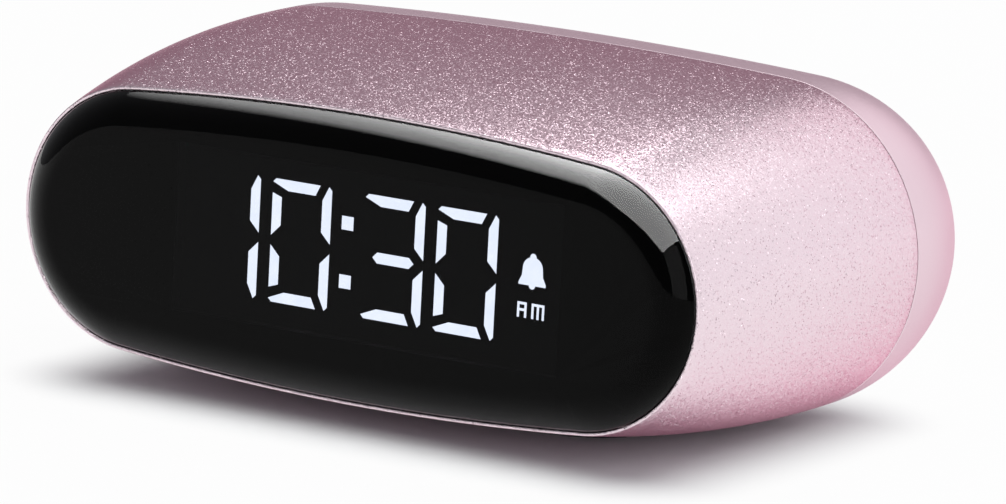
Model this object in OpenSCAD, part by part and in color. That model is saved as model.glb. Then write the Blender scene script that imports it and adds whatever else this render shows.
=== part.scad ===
// Digital alarm clock: a barrel-shaped metal front shell with a pillowed dark lens, a moulded
// rear cover with buttons, and a lit segment display inside.
// X runs to the right as the display is read, Y to the back and Z up. The origin is on the
// table, under the middle of the clock.

/* [Case] */
// Width of the case at the seam between shell and rear cover
case_w = 102.9; // [98:0.1:110]
// Height of the case at the seam
case_h = 41.5; // [40:0.1:46]
// How much shorter the radius of the rounded ends is than half of the case's height
case_end_ease = 0.85; // [0.5:0.05:2]
// Length of the front shell from its rim to the seam
shell_len = 40.5; // [38:0.1:50]
// Length of the rear cover behind the seam
rear_len = 16.5; // [15.5:0.1:19]
// Wall of the front shell and the rear cover
case_wall = 2; // [1.6:0.1:2.2]
// Width of the metal rim around the lens
rim_w = 0.5; // [0.4:0.05:0.8]
// How far the seam's centre lies above the lens's centre
seam_rise = 0.75; // [0:0.05:1.5]
// Width of the parting line between shell and rear cover
seam_gap = 0.2; // [0.1:0.05:0.4]
// Straight run of the rear cover before its sides curve in
rear_straight = 2.3; // [1:0.1:4]
// Radius of the rear cover's crowned sides
rear_crown_r = 26; // [22:0.5:40]
// Radius of the rear cover's back edge
rear_edge_r = 4.5; // [3:0.1:5]
// Thickness of the rear cover's back
back_wall = 2.9; // [2.5:0.1:3.5]
// Height of the shell's lowest point over the table
ground_gap = 0.6; // [0.4:0.1:1.2]

/* [Lens] */
// Width of the lens
lens_w = 91; // [88:0.1:92]
// Height of the lens
lens_h = 33.2; // [32.4:0.1:34]
// How much shorter the radius of the lens's ends is than half of the lens's height
lens_end_ease = 1.4; // [0.8:0.05:2.4]
// Radius of the lens's pillowed edge
lens_edge_r = 5; // [3:0.1:6]
// Slope of the lens's surface where it meets the rim
lens_edge_angle = 60; // [45:1:75]
// Depth of the lens inside the rim
lens_seat = 2; // [1.5:0.1:2.5]
// Gap around the lens
lens_gap = 0.1; // [0.05:0.01:0.15]
// Thickness of the adhesive mask behind the lens
tape_t = 0.3; // [0.2:0.05:0.5]
// Thickness of the bulkhead that the lens is bonded to
bulkhead_t = 1.5; // [1.2:0.1:2]

/* [Display] */
// Hours and minutes that the display shows
shown = "1030"; // [1030, 1245, 0900]
// Width of one digit
digit_w = 8.15; // [7.5:0.05:8.4]
// Height of one digit
digit_h = 14.5; // [13:0.1:15.5]
// Distance between neighbouring digits
digit_pitch = 9.85; // [9.3:0.05:10.2]
// Extra distance for the colon between hours and minutes
colon_gap = 2.9; // [2.5:0.1:3.6]
// Width of a segment's stroke
seg_w = 1.28; // [1:0.02:1.4]
// Half of the gap between the upper and lower strokes
seg_gap = 0.55; // [0.4:0.05:0.8]
// Cut corner at a stroke's tip
seg_tip = 0.42; // [0.3:0.02:0.5]
// Gap between the top stroke and the right-hand stroke
corner_gap = 1.2; // [0.8:0.05:1.4]
// Side of a colon dot
dot_w = 1.6; // [1.2:0.1:1.8]
// Distance between the colon dots
dot_pitch = 6.84; // [5.5:0.1:8]
// Gap between the last digit and the icons
icon_gap = 3; // [2:0.1:3.4]
// Width of the bell icon
bell_w = 3.6; // [3:0.1:4]
// Height of the letters of the AM mark
letter_h = 1.78; // [1.5:0.02:2]
// Stroke of the letters
letter_w = 0.3; // [0.26:0.02:0.34]
// Offset of the display's centre from the clock's centre
display_x = 1.5; // [-2:0.1:2]
// Height of the display's centre over the lens's centre
display_z = 0.2; // [-1:0.1:1]
// Distance from the lens's back to the display's face
display_gap = 1.3; // [0.8:0.1:2]
// Border of the segment block around the digits and icons
block_border = 2.2; // [1.8:0.1:2.6]
// Depth of the segment block
block_t = 4.7; // [4.2:0.1:5.5]
// Depth of the segment light guides
guide_t = 3; // [2:0.1:3.4]
// Gap between the segment block and the window in the bulkhead
window_gap = 0.5; // [0.3:0.1:0.8]

/* [Boards] */
// Thickness of the circuit boards
board_t = 1.6; // [1.2:0.1:2]
// Width of the display board
display_board_w = 83; // [82:0.5:86]
// Height of the display board
display_board_h = 27; // [25:0.5:28]
// Half distance between the display board's screws, across
display_post_x = 36.5; // [36:0.1:37]
// Half distance between the display board's screws, in height
display_post_z = 5.5; // [4:0.1:6]
// Width of the main board
main_board_w = 64; // [62:0.5:65]
// Height of the main board
main_board_h = 29; // [28:0.5:30]
// Space between the main board and the rear cover's back
main_board_gap = 6.5; // [6.3:0.1:7]
// Half distance between the main board's screws, across
standoff_x = 29; // [28.5:0.1:29.5]
// Half distance between the main board's screws, in height
standoff_z = 11.5; // [11:0.1:12]
// Diameter of the board posts and standoffs
post_d = 5; // [4.4:0.1:5.2]
// Thread diameter of the board screws
board_screw_d = 2; // [1.6:0.1:2.2]
// Thread length of the board screws
board_screw_len = 5; // [4:0.1:5.4]
// Width of the flat cable
ribbon_w = 12; // [8:0.5:14]
// Thickness of the flat cable
ribbon_t = 0.3; // [0.2:0.05:0.4]
// Distance of the flat cable below the main board's top edge
ribbon_edge = 5.25; // [4:0.05:6]

/* [Rear controls] */
// Distance between neighbouring buttons
button_pitch = 14; // [12.5:0.1:14.5]
// Diameter of a button
button_d = 7; // [6:0.1:7.4]
// How far a button stands out of the recess
button_proud = 0.6; // [0.4:0.1:0.8]
// Travel of a button
button_travel = 0.5; // [0.3:0.05:0.6]
// Height of the row of buttons over the middle of the back
button_z = 5.6; // [5.2:0.1:6]
// Side of a switch body
switch_w = 6; // [5:0.1:6.4]
// Height of a switch body
switch_h = 3.5; // [3:0.1:3.8]
// Diameter of a switch plunger
plunger_d = 3.4; // [3:0.1:3.6]
// Depth of the recesses around the controls
recess_t = 1; // [0.8:0.1:1.2]
// Height of the lower row of controls below the middle of the back
lower_z = 6.4; // [6:0.1:6.8]
// Distance of the slide knob from the middle
slide_x = 19; // [18:0.1:20]
// Side of the slide knob's thumb post
thumb_w = 3.2; // [2.8:0.1:3.4]
// Travel of the slide knob
slide_travel = 2; // [1.5:0.1:2.4]
// Width of the power inlet's shell
usb_w = 8.94; // [8.9:0.01:9]
// Height of the power inlet's shell
usb_h = 3.26; // [3.2:0.01:3.3]
// Sheet thickness of the power inlet's shell
usb_wall = 0.3; // [0.25:0.01:0.35]
// Distance of the buzzer from the middle
buzzer_x = 19; // [18:0.1:20]
// Diameter of the buzzer
buzzer_d = 12; // [10:0.1:12.4]
// Height of the buzzer
buzzer_h = 5.4; // [4:0.1:5.8]
// Diameter of one sound hole
sound_hole_d = 1.5; // [1:0.1:1.8]
// Distance between the sound holes
sound_pitch = 2.8; // [2.4:0.1:3]

/* [Power] */
// Diameter of the rechargeable cell
cell_d = 18.4; // [17:0.1:18.8]
// Length of the rechargeable cell
cell_len = 65; // [60:0.5:66]
// Gap between the cell's contacts and the bosses behind them
cell_gap = 0.5; // [0.3:0.1:1]
// Wall of the cell's tray
tray_t = 1.5; // [1.2:0.1:2]
// Gap between the tray's front corners and the shell's inside
tray_gap = 0.5; // [0.3:0.1:1]
// Thickness of the nickel contacts
contact_t = 0.3; // [0.2:0.05:0.4]
// Diameter of the cell's leads
lead_d = 1.2; // [0.8:0.1:1.4]

/* [Fasteners and foot] */
// Half distance between the case screws, in height
case_screw_z = 7.5; // [7:0.1:8]
// Thread diameter of the case screws
case_screw_d = 2.6; // [2:0.1:3]
// Thread length of the case screws
case_screw_len = 16; // [14:0.5:18]
// Diameter of the bosses for the case screws
boss_d = 7; // [6.4:0.1:7.4]
// Gap between the bosses and the cell's tray or the main board beside them
boss_gap = 1; // [0.6:0.1:2]
// Length of the shell's bosses for the case screws
boss_len = 8; // [7:0.1:8.4]
// Depth of the case screws' heads below the back
screw_sink = 9; // [7:0.5:10]
// Length of the foot pad, across the clock
foot_w = 52; // [40:0.5:54]
// Depth of the foot pad, front to back
foot_len = 20; // [14:0.5:20]
// Thickness of the foot pad
foot_t = 2.4; // [2.3:0.1:2.6]
// Distance of the foot pad's back edge in front of the seam
foot_setback = 3.5; // [3.2:0.1:6]

/* [Hidden] */

// Clearances and small shared sizes
fit_gap = 0.15;
slip_gap = 0.1;
thread_gap = 0.05;
skin = 0.01;
past = 1;
facets = 64;

// Places along Y: the lens's front, the rim, the seam and the back
lens_proud = lens_edge_r * (1 - cos(lens_edge_angle));
total_len = lens_proud + shell_len + rear_len;
front_y = -total_len / 2;
rim_y = front_y + lens_proud;
seam_y = rim_y + shell_len;
back_y = seam_y + rear_len;
lens_back_y = rim_y + lens_seat;
bulkhead_y = lens_back_y + tape_t;
cavity_y = bulkhead_y + bulkhead_t;
block_y = lens_back_y + display_gap;
display_board_y = block_y + block_t;
display_board_back_y = display_board_y + board_t;
inner_back_y = back_y - back_wall;
recess_y = back_y - recess_t;
main_board_back_y = inner_back_y - main_board_gap;
main_board_y = main_board_back_y - board_t;

// Heights: the seam's centre and the lens's centre over the table
rear_z = ground_gap + case_h / 2;
axis_z = rear_z - seam_rise;

// Half sizes of the ovals as [half width, half height, end radius]
lens_oval = [lens_w / 2, lens_h / 2, lens_h / 2 - lens_end_ease];
seam_oval = [case_w / 2, case_h / 2, case_h / 2 - case_end_ease];
rim_oval = grown(lens_oval, rim_w);
end_steps = 20;
top_steps = 4;
loft_steps = 12;
edge_steps = 8;

function grown(oval, by) = [for (size = oval) size + by];
function mixed(from, to, share) = from + (to - from) * share;

// An oval is four tangent arcs: two ends, a long top and a long bottom
function end_middle(oval) = oval[0] - oval[2];
function top_radius(oval) =
    (pow(end_middle(oval), 2) + pow(oval[1], 2) - pow(oval[2], 2)) / (2 * (oval[1] - oval[2]));
function joint_turn(oval) = atan2(top_radius(oval) - oval[1], end_middle(oval));
function arc_points(centre, r, from, to, steps) =
    [for (i = [0 : steps - 1])
        let (turn = mixed(from, to, i / steps))
        [centre[0] + r * cos(turn), centre[1] + r * sin(turn)]];
function oval_points(oval) =
    let (
        end_x = end_middle(oval),
        top_r = top_radius(oval),
        top_z = oval[1] - top_r,
        joint = joint_turn(oval)
    )
    concat(
        arc_points([end_x, 0], oval[2], -joint, joint, end_steps),
        arc_points([0, top_z], top_r, joint, 180 - joint, top_steps),
        arc_points([-end_x, 0], oval[2], 180 - joint, 180 + joint, end_steps),
        arc_points([0, -top_z], top_r, 180 + joint, 360 - joint, top_steps)
    );

// How far an oval reaches below its centre, at a distance from its middle
function oval_reach(oval, x) =
    x < top_radius(oval) * cos(joint_turn(oval))
        ? oval[1] - top_radius(oval) + sqrt(pow(top_radius(oval), 2) - x * x)
        : sqrt(pow(oval[2], 2) - pow(x - end_middle(oval), 2));

// The shell swells from the rim to the seam and runs level into the seam
function swell(depth) = 1 - pow(1 - depth / shell_len, 2);
function shell_oval(depth) = mixed(rim_oval, seam_oval, swell(depth));
function shell_z(depth) = mixed(axis_z, rear_z, swell(depth));

// The rear cover's side: straight, then a wide crown, then a tight back edge
edge_reach = rear_crown_r - rear_edge_r;
crown_angle = asin((rear_len - rear_edge_r - rear_straight) / edge_reach);
function crown_depth(turn) =
    turn <= crown_angle
        ? rear_straight + rear_crown_r * sin(turn)
        : rear_straight + edge_reach * sin(crown_angle) + rear_edge_r * sin(turn);
function crown_inset(turn) =
    turn <= crown_angle
        ? rear_crown_r * (1 - cos(turn))
        : rear_crown_r - edge_reach * cos(crown_angle) - rear_edge_r * cos(turn);
crown_turns = concat(
    [for (i = [0 : edge_steps]) crown_angle * i / edge_steps],
    [for (i = [1 : edge_steps]) mixed(crown_angle, 90, i / edge_steps)]
);

// Upright plate of a flat outline, from front to back, centred at a height
module plate(from_y, thickness, height = axis_z) {
    translate([0, from_y + thickness, height])
        rotate([90, 0, 0])
            linear_extrude(height = thickness)
                children();
}

module oval_plate(from_y, thickness, oval, height = axis_z) {
    plate(from_y, thickness, height)
        polygon(oval_points(oval));
}

// Solid through a row of rings from front to back, each ring being [y, oval, height of its centre]
module loft(rings) {
    outlines = [for (ring = rings) oval_points(ring[1])];
    count = len(outlines[0]);
    last = len(rings) - 1;
    polyhedron(
        points = [
            for (i = [0 : last], p = outlines[i])
                [p[0], rings[i][0], rings[i][2] + p[1]]
        ],
        faces = concat(
            [[for (j = [count - 1 : -1 : 0]) j]],
            [[for (j = [0 : count - 1]) last * count + j]],
            [for (i = [0 : last - 1], j = [0 : count - 1], rear = [false, true])
                let (
                    here = i * count + j,
                    next = i * count + (j + 1) % count
                )
                rear ? [here, next + count, here + count] : [here, next, next + count]]
        )
    );
}

// Rod along Y
module rod(x, z, from_y, to_y, d) {
    translate([x, to_y, z])
        rotate([90, 0, 0])
            cylinder(h = to_y - from_y, d = d, $fn = facets);
}

// Box from its middle in X and Z and its front and back in Y
module bar(x, z, from_y, to_y, w, h) {
    translate([x - w / 2, from_y, z - h / 2])
        cube([w, to_y - from_y, h]);
}

// Flat outline with fully rounded ends
module pill(w, h) {
    square([w - h, h], center = true);
    for (side = [-1, 1])
        translate([side * (w - h) / 2, 0])
            circle(d = h, $fn = facets);
}

// The four corners of a pattern
module at_corners(x, z) {
    for (sx = [-1, 1], sz = [-1, 1])
        translate([sx * x, 0, sz * z])
            children();
}

// Pan-head screw along Y whose thread runs from the head's seat towards the front or back
function head_d(thread_d) = 1.8 * thread_d;
function head_t(thread_d) = 0.6 * thread_d;
module pan_screw(seat_y, d, length, towards) {
    slot_t = head_t(d) / 2;
    slot_w = d / 3;
    slot_len = head_d(d) * 2 / 3;
    tip_y = seat_y + towards * length;
    top_y = seat_y - towards * head_t(d);
    slot_y = top_y + towards * slot_t;
    difference() {
        union() {
            rod(0, 0, min(seat_y, tip_y), max(seat_y, tip_y), d);
            rod(0, 0, min(seat_y, top_y), max(seat_y, top_y), head_d(d));
        }
        for (turn = [0, 90])
            rotate([0, turn, 0])
                bar(0, 0, min(slot_y, top_y - towards * past), max(slot_y, top_y - towards * past),
                    slot_len, slot_w);
    }
}

// Digits, as cells measured from a digit's left edge and middle height
half_h = digit_h / 2;
tip_slope = (seg_w - seg_tip) / (seg_w + seg_tip);
top_right = digit_w - seg_tip - corner_gap;
field_w = 3 * digit_pitch + colon_gap + digit_w + icon_gap + bell_w;
field_x = display_x - field_w / 2;
function digit_x(i) = field_x + i * digit_pitch + (i > 1 ? colon_gap : 0);
colon_x = (digit_x(1) + digit_w + digit_x(2)) / 2;
icon_x = digit_x(3) + digit_w + icon_gap + bell_w / 2;

stroke_top = [
    [0, half_h - seg_tip],
    [seg_tip, half_h],
    [top_right, half_h],
    [top_right - seg_w * tip_slope, half_h - seg_w],
    [seg_w + 2 * seg_tip, half_h - seg_w]
];
stroke_right = [
    [digit_w - seg_tip, half_h],
    [digit_w, half_h - seg_tip],
    [digit_w, seg_gap],
    [digit_w - seg_w, seg_gap + seg_w],
    [digit_w - seg_w, half_h - seg_w - seg_tip]
];
stroke_left = [
    [0, half_h - seg_w - seg_tip],
    [seg_w, half_h - seg_w - 2 * seg_tip],
    [seg_w, seg_gap + seg_w],
    [0, seg_gap]
];
stroke_middle = [
    [seg_w, 0],
    [1.5 * seg_w, seg_w / 2],
    [digit_w - 1.5 * seg_w, seg_w / 2],
    [digit_w - seg_w, 0],
    [digit_w - 1.5 * seg_w, -seg_w / 2],
    [1.5 * seg_w, -seg_w / 2]
];
function flipped(points) = [for (p = points) [p[0], -p[1]]];
STROKES = [
    stroke_top, stroke_right, flipped(stroke_right), flipped(stroke_top),
    flipped(stroke_left), stroke_left, stroke_middle
];
// Strokes that show each figure from 0 to 9, numbered clockwise from the top, middle last
FIGURES = ["012345", "12", "01346", "01236", "1256", "02356", "023456", "012", "0123456", "012356"];
function figure(place) = ord(shown[place]) - ord("0");
function is_lit(place, stroke) = len(search(str(stroke), FIGURES[figure(place)])) > 0;

function middle(points, i = 0, total = [0, 0]) =
    i == len(points) ? total / len(points) : middle(points, i + 1, total + points[i]);

module strokes(lit) {
    for (place = [0 : 3], stroke = [0 : 6])
        if (is_lit(place, stroke) == lit)
            translate([digit_x(place), display_z])
                polygon(STROKES[stroke]);
}

module colon() {
    for (side = [-1, 1])
        translate([colon_x, display_z + side * dot_pitch / 2])
            square(dot_w, center = true);
}

// Alarm bell: skirt, dome, knob and clapper, in shares of its width from its base line up
BELL_SKIRT = [[0.5, 0], [0.5, 0.086], [0.39, 0.303], [0.37, 0.542]];
BELL_DOME = [0.37, 0.542];
BELL_KNOB = 0.115;
bell_drop = 0.1;
bell_z = display_z - bell_drop;
bell_middle_z = bell_z + bell_w * BELL_DOME[1];
module bell() {
    side = bell_w * BELL_SKIRT;
    translate([icon_x, bell_z])
        polygon(concat(side, [for (i = [len(side) - 1 : -1 : 0]) [-side[i][0], side[i][1]]]));
    translate([icon_x, bell_middle_z])
        circle(r = bell_w * BELL_DOME[0], $fn = facets);
    for (knob_z = [bell_z, bell_middle_z + bell_w * BELL_DOME[0]])
        translate([icon_x, knob_z])
            circle(r = bell_w * BELL_KNOB, $fn = facets);
}

// Letters of bars: uprights side by side under a top bar, with a cross bar where asked
letters_drop = 2.1;
letters_top = display_z - letters_drop;
letters_gap = 0.65;
LETTER_A_SHARE = 0.424;
letter_a_w = LETTER_A_SHARE * (bell_w - letters_gap);
letter_m_w = bell_w - letters_gap - letter_a_w;
module letter(left, w, uprights, crossed) {
    step = (w - letter_w) / (uprights - 1);
    translate([left, letters_top - letter_h]) {
        for (i = [0 : uprights - 1])
            translate([i * step, 0])
                square([letter_w, letter_h]);
        translate([0, letter_h - letter_w])
            square([w, letter_w]);
        if (crossed)
            translate([0, (letter_h - letter_w) / 2])
                square([w, letter_w]);
    }
}

module letters() {
    letter(icon_x - bell_w / 2, letter_a_w, 2, true);
    letter(icon_x + bell_w / 2 - letter_m_w, letter_m_w, 3, false);
}

// Light well behind the letters, between the two of them
letters_z = letters_top - letter_h / 2;
letters_x = icon_x - bell_w / 2 + letter_a_w + letters_gap / 2;
module letters_well() {
    translate([letters_x, letters_z])
        square([letters_gap + letter_w, led_w + 2 * slip_gap], center = true);
}

// Size of the segment block and its window
block_w = field_w + 2 * block_border;
block_h = digit_h + 2 * block_border;

module block_outline(by = 0) {
    translate([display_x, display_z])
        square([block_w + 2 * by, block_h + 2 * by], center = true);
}

// Shell: outer swell less a cavity that leaves the bulkhead, posts, bosses and tray seat
lip_len = 2.4;
cover_y = seam_y + seam_gap;
lip_y = cover_y - lip_len;
boss_lip_gap = 0.8;
boss_top_y = lip_y - boss_lip_gap;
boss_foot_y = boss_top_y - boss_len;
cover_tube_y = boss_top_y + slip_gap;
post_bore_d = board_screw_d + 2 * thread_gap;
case_bore_d = case_screw_d + 2 * thread_gap;
rib_t = 1.6;
foot_y = seam_y - foot_setback - foot_len / 2;
seat_y = foot_y - foot_len / 2 - case_wall;

function shell_rings(inset, from_depth) =
    [for (i = [0 : loft_steps])
        let (depth = mixed(from_depth, shell_len, i / loft_steps))
        [rim_y + depth, grown(shell_oval(depth), -inset), shell_z(depth)]];

module foot_outline(by = 0) {
    translate([0, foot_y])
        pill(foot_w + 2 * by, foot_len + 2 * by);
}

module front_shell() {
    color("#C98FA4")
        difference() {
            loft(shell_rings(0, 0));
            difference() {
                loft(concat(
                    shell_rings(case_wall, cavity_y - rim_y),
                    [[seam_y + past, grown(seam_oval, -case_wall), rear_z]]
                ));
                at_corners(display_post_x, display_post_z)
                    rod(0, axis_z, bulkhead_y, display_board_y, post_d);
                translate([0, 0, rear_z])
                    at_corners(case_screw_x, case_screw_z)
                        rod(0, 0, boss_foot_y, boss_top_y, boss_d);
                for (side = [-1, 1], level = [-1, 1])
                    bar(side * (case_screw_x + case_w / 4), rear_z + level * case_screw_z,
                        boss_foot_y, boss_top_y, case_w / 2, rib_t);
                translate([-foot_w / 2 - case_wall, seat_y, 0])
                    cube([foot_w + 2 * case_wall, boss_top_y - seat_y, tray_seat_z]);
            }
            oval_plate(rim_y - past, lens_seat + tape_t + past, grown(lens_oval, lens_gap));
            plate(bulkhead_y - past, bulkhead_t + 2 * past)
                block_outline(window_gap);
            at_corners(display_post_x, display_post_z)
                rod(0, axis_z, display_board_back_y - board_screw_len - thread_gap,
                    display_board_back_y, post_bore_d);
            translate([0, 0, rear_z])
                at_corners(case_screw_x, case_screw_z)
                    rod(0, 0, back_y - screw_sink - case_screw_len - thread_gap, seam_y, case_bore_d);
            translate([0, 0, -past])
                linear_extrude(height = foot_t + past)
                    foot_outline(fit_gap);
        }
}

// Lens: a straight edge inside the rim and a pillowed front
module front_lens() {
    color("#121214")
        loft(concat(
            [for (i = [0 : edge_steps])
                let (turn = lens_edge_angle * i / edge_steps)
                [
                    front_y + lens_edge_r * (1 - cos(turn)),
                    grown(lens_oval, lens_edge_r * (sin(turn) - sin(lens_edge_angle))),
                    axis_z
                ]],
            [[lens_back_y, lens_oval, axis_z]]
        ));
}

module lens_tape() {
    color("#101010")
        difference() {
            oval_plate(lens_back_y, tape_t, lens_oval);
            plate(lens_back_y - past, tape_t + 2 * past)
                block_outline(window_gap);
        }
}

module segment_block() {
    color("#161616")
        difference() {
            plate(block_y, block_t)
                block_outline();
            plate(block_y - past, block_t + 2 * past) {
                strokes(true);
                strokes(false);
                colon();
                bell();
            }
            plate(block_y - past, guide_t + past)
                letters();
            plate(block_y + guide_t - skin, block_t)
                letters_well();
        }
}

module lit_segments() {
    color("#E6EEF8")
        plate(block_y, guide_t) {
            strokes(true);
            colon();
            bell();
            letters();
        }
}

module unlit_segments() {
    color("#2A2A2E")
        plate(block_y, guide_t)
            strokes(false);
}

// LED chips behind the strokes, the colon and the icons
led_w = 0.9;
led_t = 0.6;
module segment_leds() {
    color("#E8E4C8")
        plate(display_board_y - led_t, led_t) {
            for (place = [0 : 3], stroke = STROKES)
                translate([digit_x(place), display_z] + middle(stroke))
                    square(led_w, center = true);
            for (side = [-1, 1])
                translate([colon_x, display_z + side * dot_pitch / 2])
                    square(led_w, center = true);
            for (place = [[icon_x, bell_middle_z], [letters_x, letters_z]])
                translate(place)
                    square(led_w, center = true);
        }
}

// Boards, screws and the flat cable between them
board_end_ease = 1;
display_board_oval = [display_board_w / 2, display_board_h / 2, display_board_h / 2 - board_end_ease];
module display_board() {
    color("#1E4D3A")
        difference() {
            oval_plate(display_board_y, board_t, display_board_oval);
            at_corners(display_post_x, display_post_z)
                rod(0, axis_z, display_board_y - past, display_board_back_y + past,
                    board_screw_d + 2 * fit_gap);
        }
}

module display_screws() {
    color("#B9BBBE")
        at_corners(display_post_x, display_post_z)
            translate([0, 0, axis_z])
                pan_screw(display_board_back_y, board_screw_d, board_screw_len, -1);
}

socket_t = 3.4;
socket_h = 2.2;
socket_wall = 1;
ribbon_in = 2.4;
ribbon_level = rear_z + main_board_h / 2 - ribbon_edge;
module ribbon_sockets() {
    color("#E9E4D6")
        for (side = [-1, 1]) {
            foot = side < 0 ? display_board_back_y : main_board_y - socket_t;
            mouth = side < 0 ? display_board_back_y + socket_t - ribbon_in : main_board_y - socket_t - past;
            difference() {
                bar(0, ribbon_level, foot, foot + socket_t, ribbon_w + 2 * socket_wall, socket_h);
                bar(0, ribbon_level, mouth, mouth + ribbon_in + past,
                    ribbon_w + 2 * slip_gap, ribbon_t + 2 * slip_gap);
            }
        }
}

module display_ribbon() {
    color("#D8D8D2")
        bar(0, ribbon_level,
            display_board_back_y + socket_t - ribbon_in + slip_gap,
            main_board_y - socket_t + ribbon_in - slip_gap,
            ribbon_w, ribbon_t);
}

module main_board() {
    color("#1E4D3A")
        difference() {
            bar(0, rear_z, main_board_y, main_board_back_y, main_board_w, main_board_h);
            translate([0, 0, rear_z])
                at_corners(standoff_x, standoff_z)
                    rod(0, 0, main_board_y - past, main_board_back_y + past, board_screw_d + 2 * fit_gap);
        }
}

// Controller, memory and driver chips on the main board's front
chip_t = 1.2;
chip_w = 7;
module board_chips() {
    color("#202022")
        for (i = [-1 : 1])
            bar(i * 2 * chip_w, rear_z, main_board_y - chip_t, main_board_y, chip_w, chip_w);
}

module board_screws() {
    color("#B9BBBE")
        translate([0, 0, rear_z])
            at_corners(standoff_x, standoff_z)
                pan_screw(main_board_y, board_screw_d, board_screw_len, 1);
}

// Cell, tray, contacts and leads
contact_w = 8;
cell_y = boss_foot_y - cell_gap - contact_w / 2;
contact_x = cell_len / 2 + slip_gap;
cheek_x = contact_x + contact_t + slip_gap;
case_screw_x = max(cheek_x, main_board_w / 2) + boss_gap + boss_d / 2;
tray_depth = cell_y - cell_d / 2 - rim_y;
tray_seat_z = shell_z(tray_depth) + tray_gap
    - oval_reach(grown(shell_oval(tray_depth), -case_wall), cheek_x + tray_t);
cell_z = tray_seat_z + tray_t + fit_gap + cell_d / 2;
contact_tail = 2;
contact_back_y = cell_y + cell_d / 2 + contact_tail;
lead_lap = 1.6;
lead_x = contact_x - lead_d / 2 - thread_gap;
module battery_tray() {
    color("#2B2B2E")
        difference() {
            union() {
                translate([-cheek_x - tray_t, cell_y - cell_d / 2, tray_seat_z])
                    cube([2 * (cheek_x + tray_t), cell_d, tray_t]);
                for (side = [-1, 1])
                    bar(side * (cheek_x + tray_t / 2), (tray_seat_z + cell_z + contact_w / 2) / 2,
                        cell_y - contact_w / 2, cell_y + contact_w / 2,
                        tray_t, cell_z + contact_w / 2 - tray_seat_z);
                for (side = [-1, 1])
                    bar(side * cell_len / 3, (tray_seat_z + cell_z) / 2,
                        cell_y - cell_d / 2, cell_y + cell_d / 2, tray_t, cell_z - tray_seat_z);
            }
            translate([-cell_len / 2 - slip_gap, cell_y, cell_z])
                rotate([0, 90, 0])
                    cylinder(h = cell_len + 2 * slip_gap, d = cell_d + 2 * slip_gap, $fn = facets);
        }
}

module battery_cell() {
    color("#4A7FB5")
        translate([-cell_len / 2, cell_y, cell_z])
            rotate([0, 90, 0])
                cylinder(h = cell_len, d = cell_d, $fn = facets);
}

module battery_contacts() {
    color("#C8C9CC")
        for (side = [-1, 1])
            bar(side * (contact_x + contact_t / 2), cell_z,
                cell_y - contact_w / 2, contact_back_y, contact_t, contact_w);
}

module battery_leads() {
    for (side = [-1, 1])
        color(side > 0 ? "#B3262A" : "#1C1C1E")
            rod(side * lead_x, cell_z, contact_back_y - lead_lap, main_board_y, lead_d);
}

// Parts on the back of the main board
module buzzer() {
    color("#1A1A1B")
        difference() {
            rod(-buzzer_x, rear_z - lower_z, main_board_back_y, main_board_back_y + buzzer_h, buzzer_d);
            rod(-buzzer_x, rear_z - lower_z, main_board_back_y + buzzer_h / 2,
                main_board_back_y + buzzer_h + past, buzzer_d / 6);
        }
}

usb_sink = 0.2;
usb_mouth_y = recess_y - usb_sink;
usb_base_t = 3;
usb_tongue_w = 6.7;
usb_tongue_h = 0.7;
usb_tongue_sink = 0.8;
module usb_inlet() {
    color("#C4C6C8")
        difference() {
            plate(main_board_back_y, usb_mouth_y - main_board_back_y, rear_z - lower_z)
                pill(usb_w, usb_h);
            plate(main_board_back_y - past, usb_mouth_y - main_board_back_y + 2 * past, rear_z - lower_z)
                pill(usb_w - 2 * usb_wall, usb_h - 2 * usb_wall);
        }
}

module usb_tongue() {
    color("#141414") {
        plate(main_board_back_y, usb_base_t, rear_z - lower_z)
            pill(usb_w - 2 * usb_wall, usb_h - 2 * usb_wall);
        bar(0, rear_z - lower_z, main_board_back_y, usb_mouth_y - usb_tongue_sink,
            usb_tongue_w, usb_tongue_h);
    }
}

// Buttons and their switches
function button_x(i) = (i - 1.5) * button_pitch;
switch_back_y = main_board_back_y + switch_h;
flange_t = 1;
flange_w = 0.8;
flange_d = button_d + 2 * flange_w;
flange_back_y = inner_back_y - slip_gap;
flange_y = flange_back_y - flange_t;
button_hole_d = button_d + 2 * fit_gap;
plunger_in = 1.2;
row_z = rear_z + button_z;

module tact_switches() {
    color("#2E2E30")
        for (i = [0 : 3])
            difference() {
                bar(button_x(i), row_z, main_board_back_y, switch_back_y, switch_w, switch_w);
                rod(button_x(i), row_z, switch_back_y - plunger_in - button_travel - slip_gap,
                    switch_back_y + past, plunger_d + 2 * fit_gap);
            }
}

module plunger(i) {
    color("#7A1E22")
        rod(button_x(i), row_z, switch_back_y - plunger_in, flange_y, plunger_d);
}

module button(i) {
    dish_r = button_d;
    dish_t = 0.25;
    top_y = recess_y + button_proud;
    color("#D9A9BA")
        difference() {
            union() {
                rod(button_x(i), row_z, flange_y, flange_back_y, flange_d);
                rod(button_x(i), row_z, flange_y, top_y, button_d);
            }
            translate([button_x(i), top_y - dish_t + dish_r, row_z])
                sphere(r = dish_r, $fn = facets);
        }
}

module time_plunger() { plunger(0); }
module alarm_plunger() { plunger(1); }
module up_plunger() { plunger(2); }
module down_plunger() { plunger(3); }
module time_button() { button(0); }
module alarm_button() { button(1); }
module up_button() { button(2); }
module down_button() { button(3); }

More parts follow.
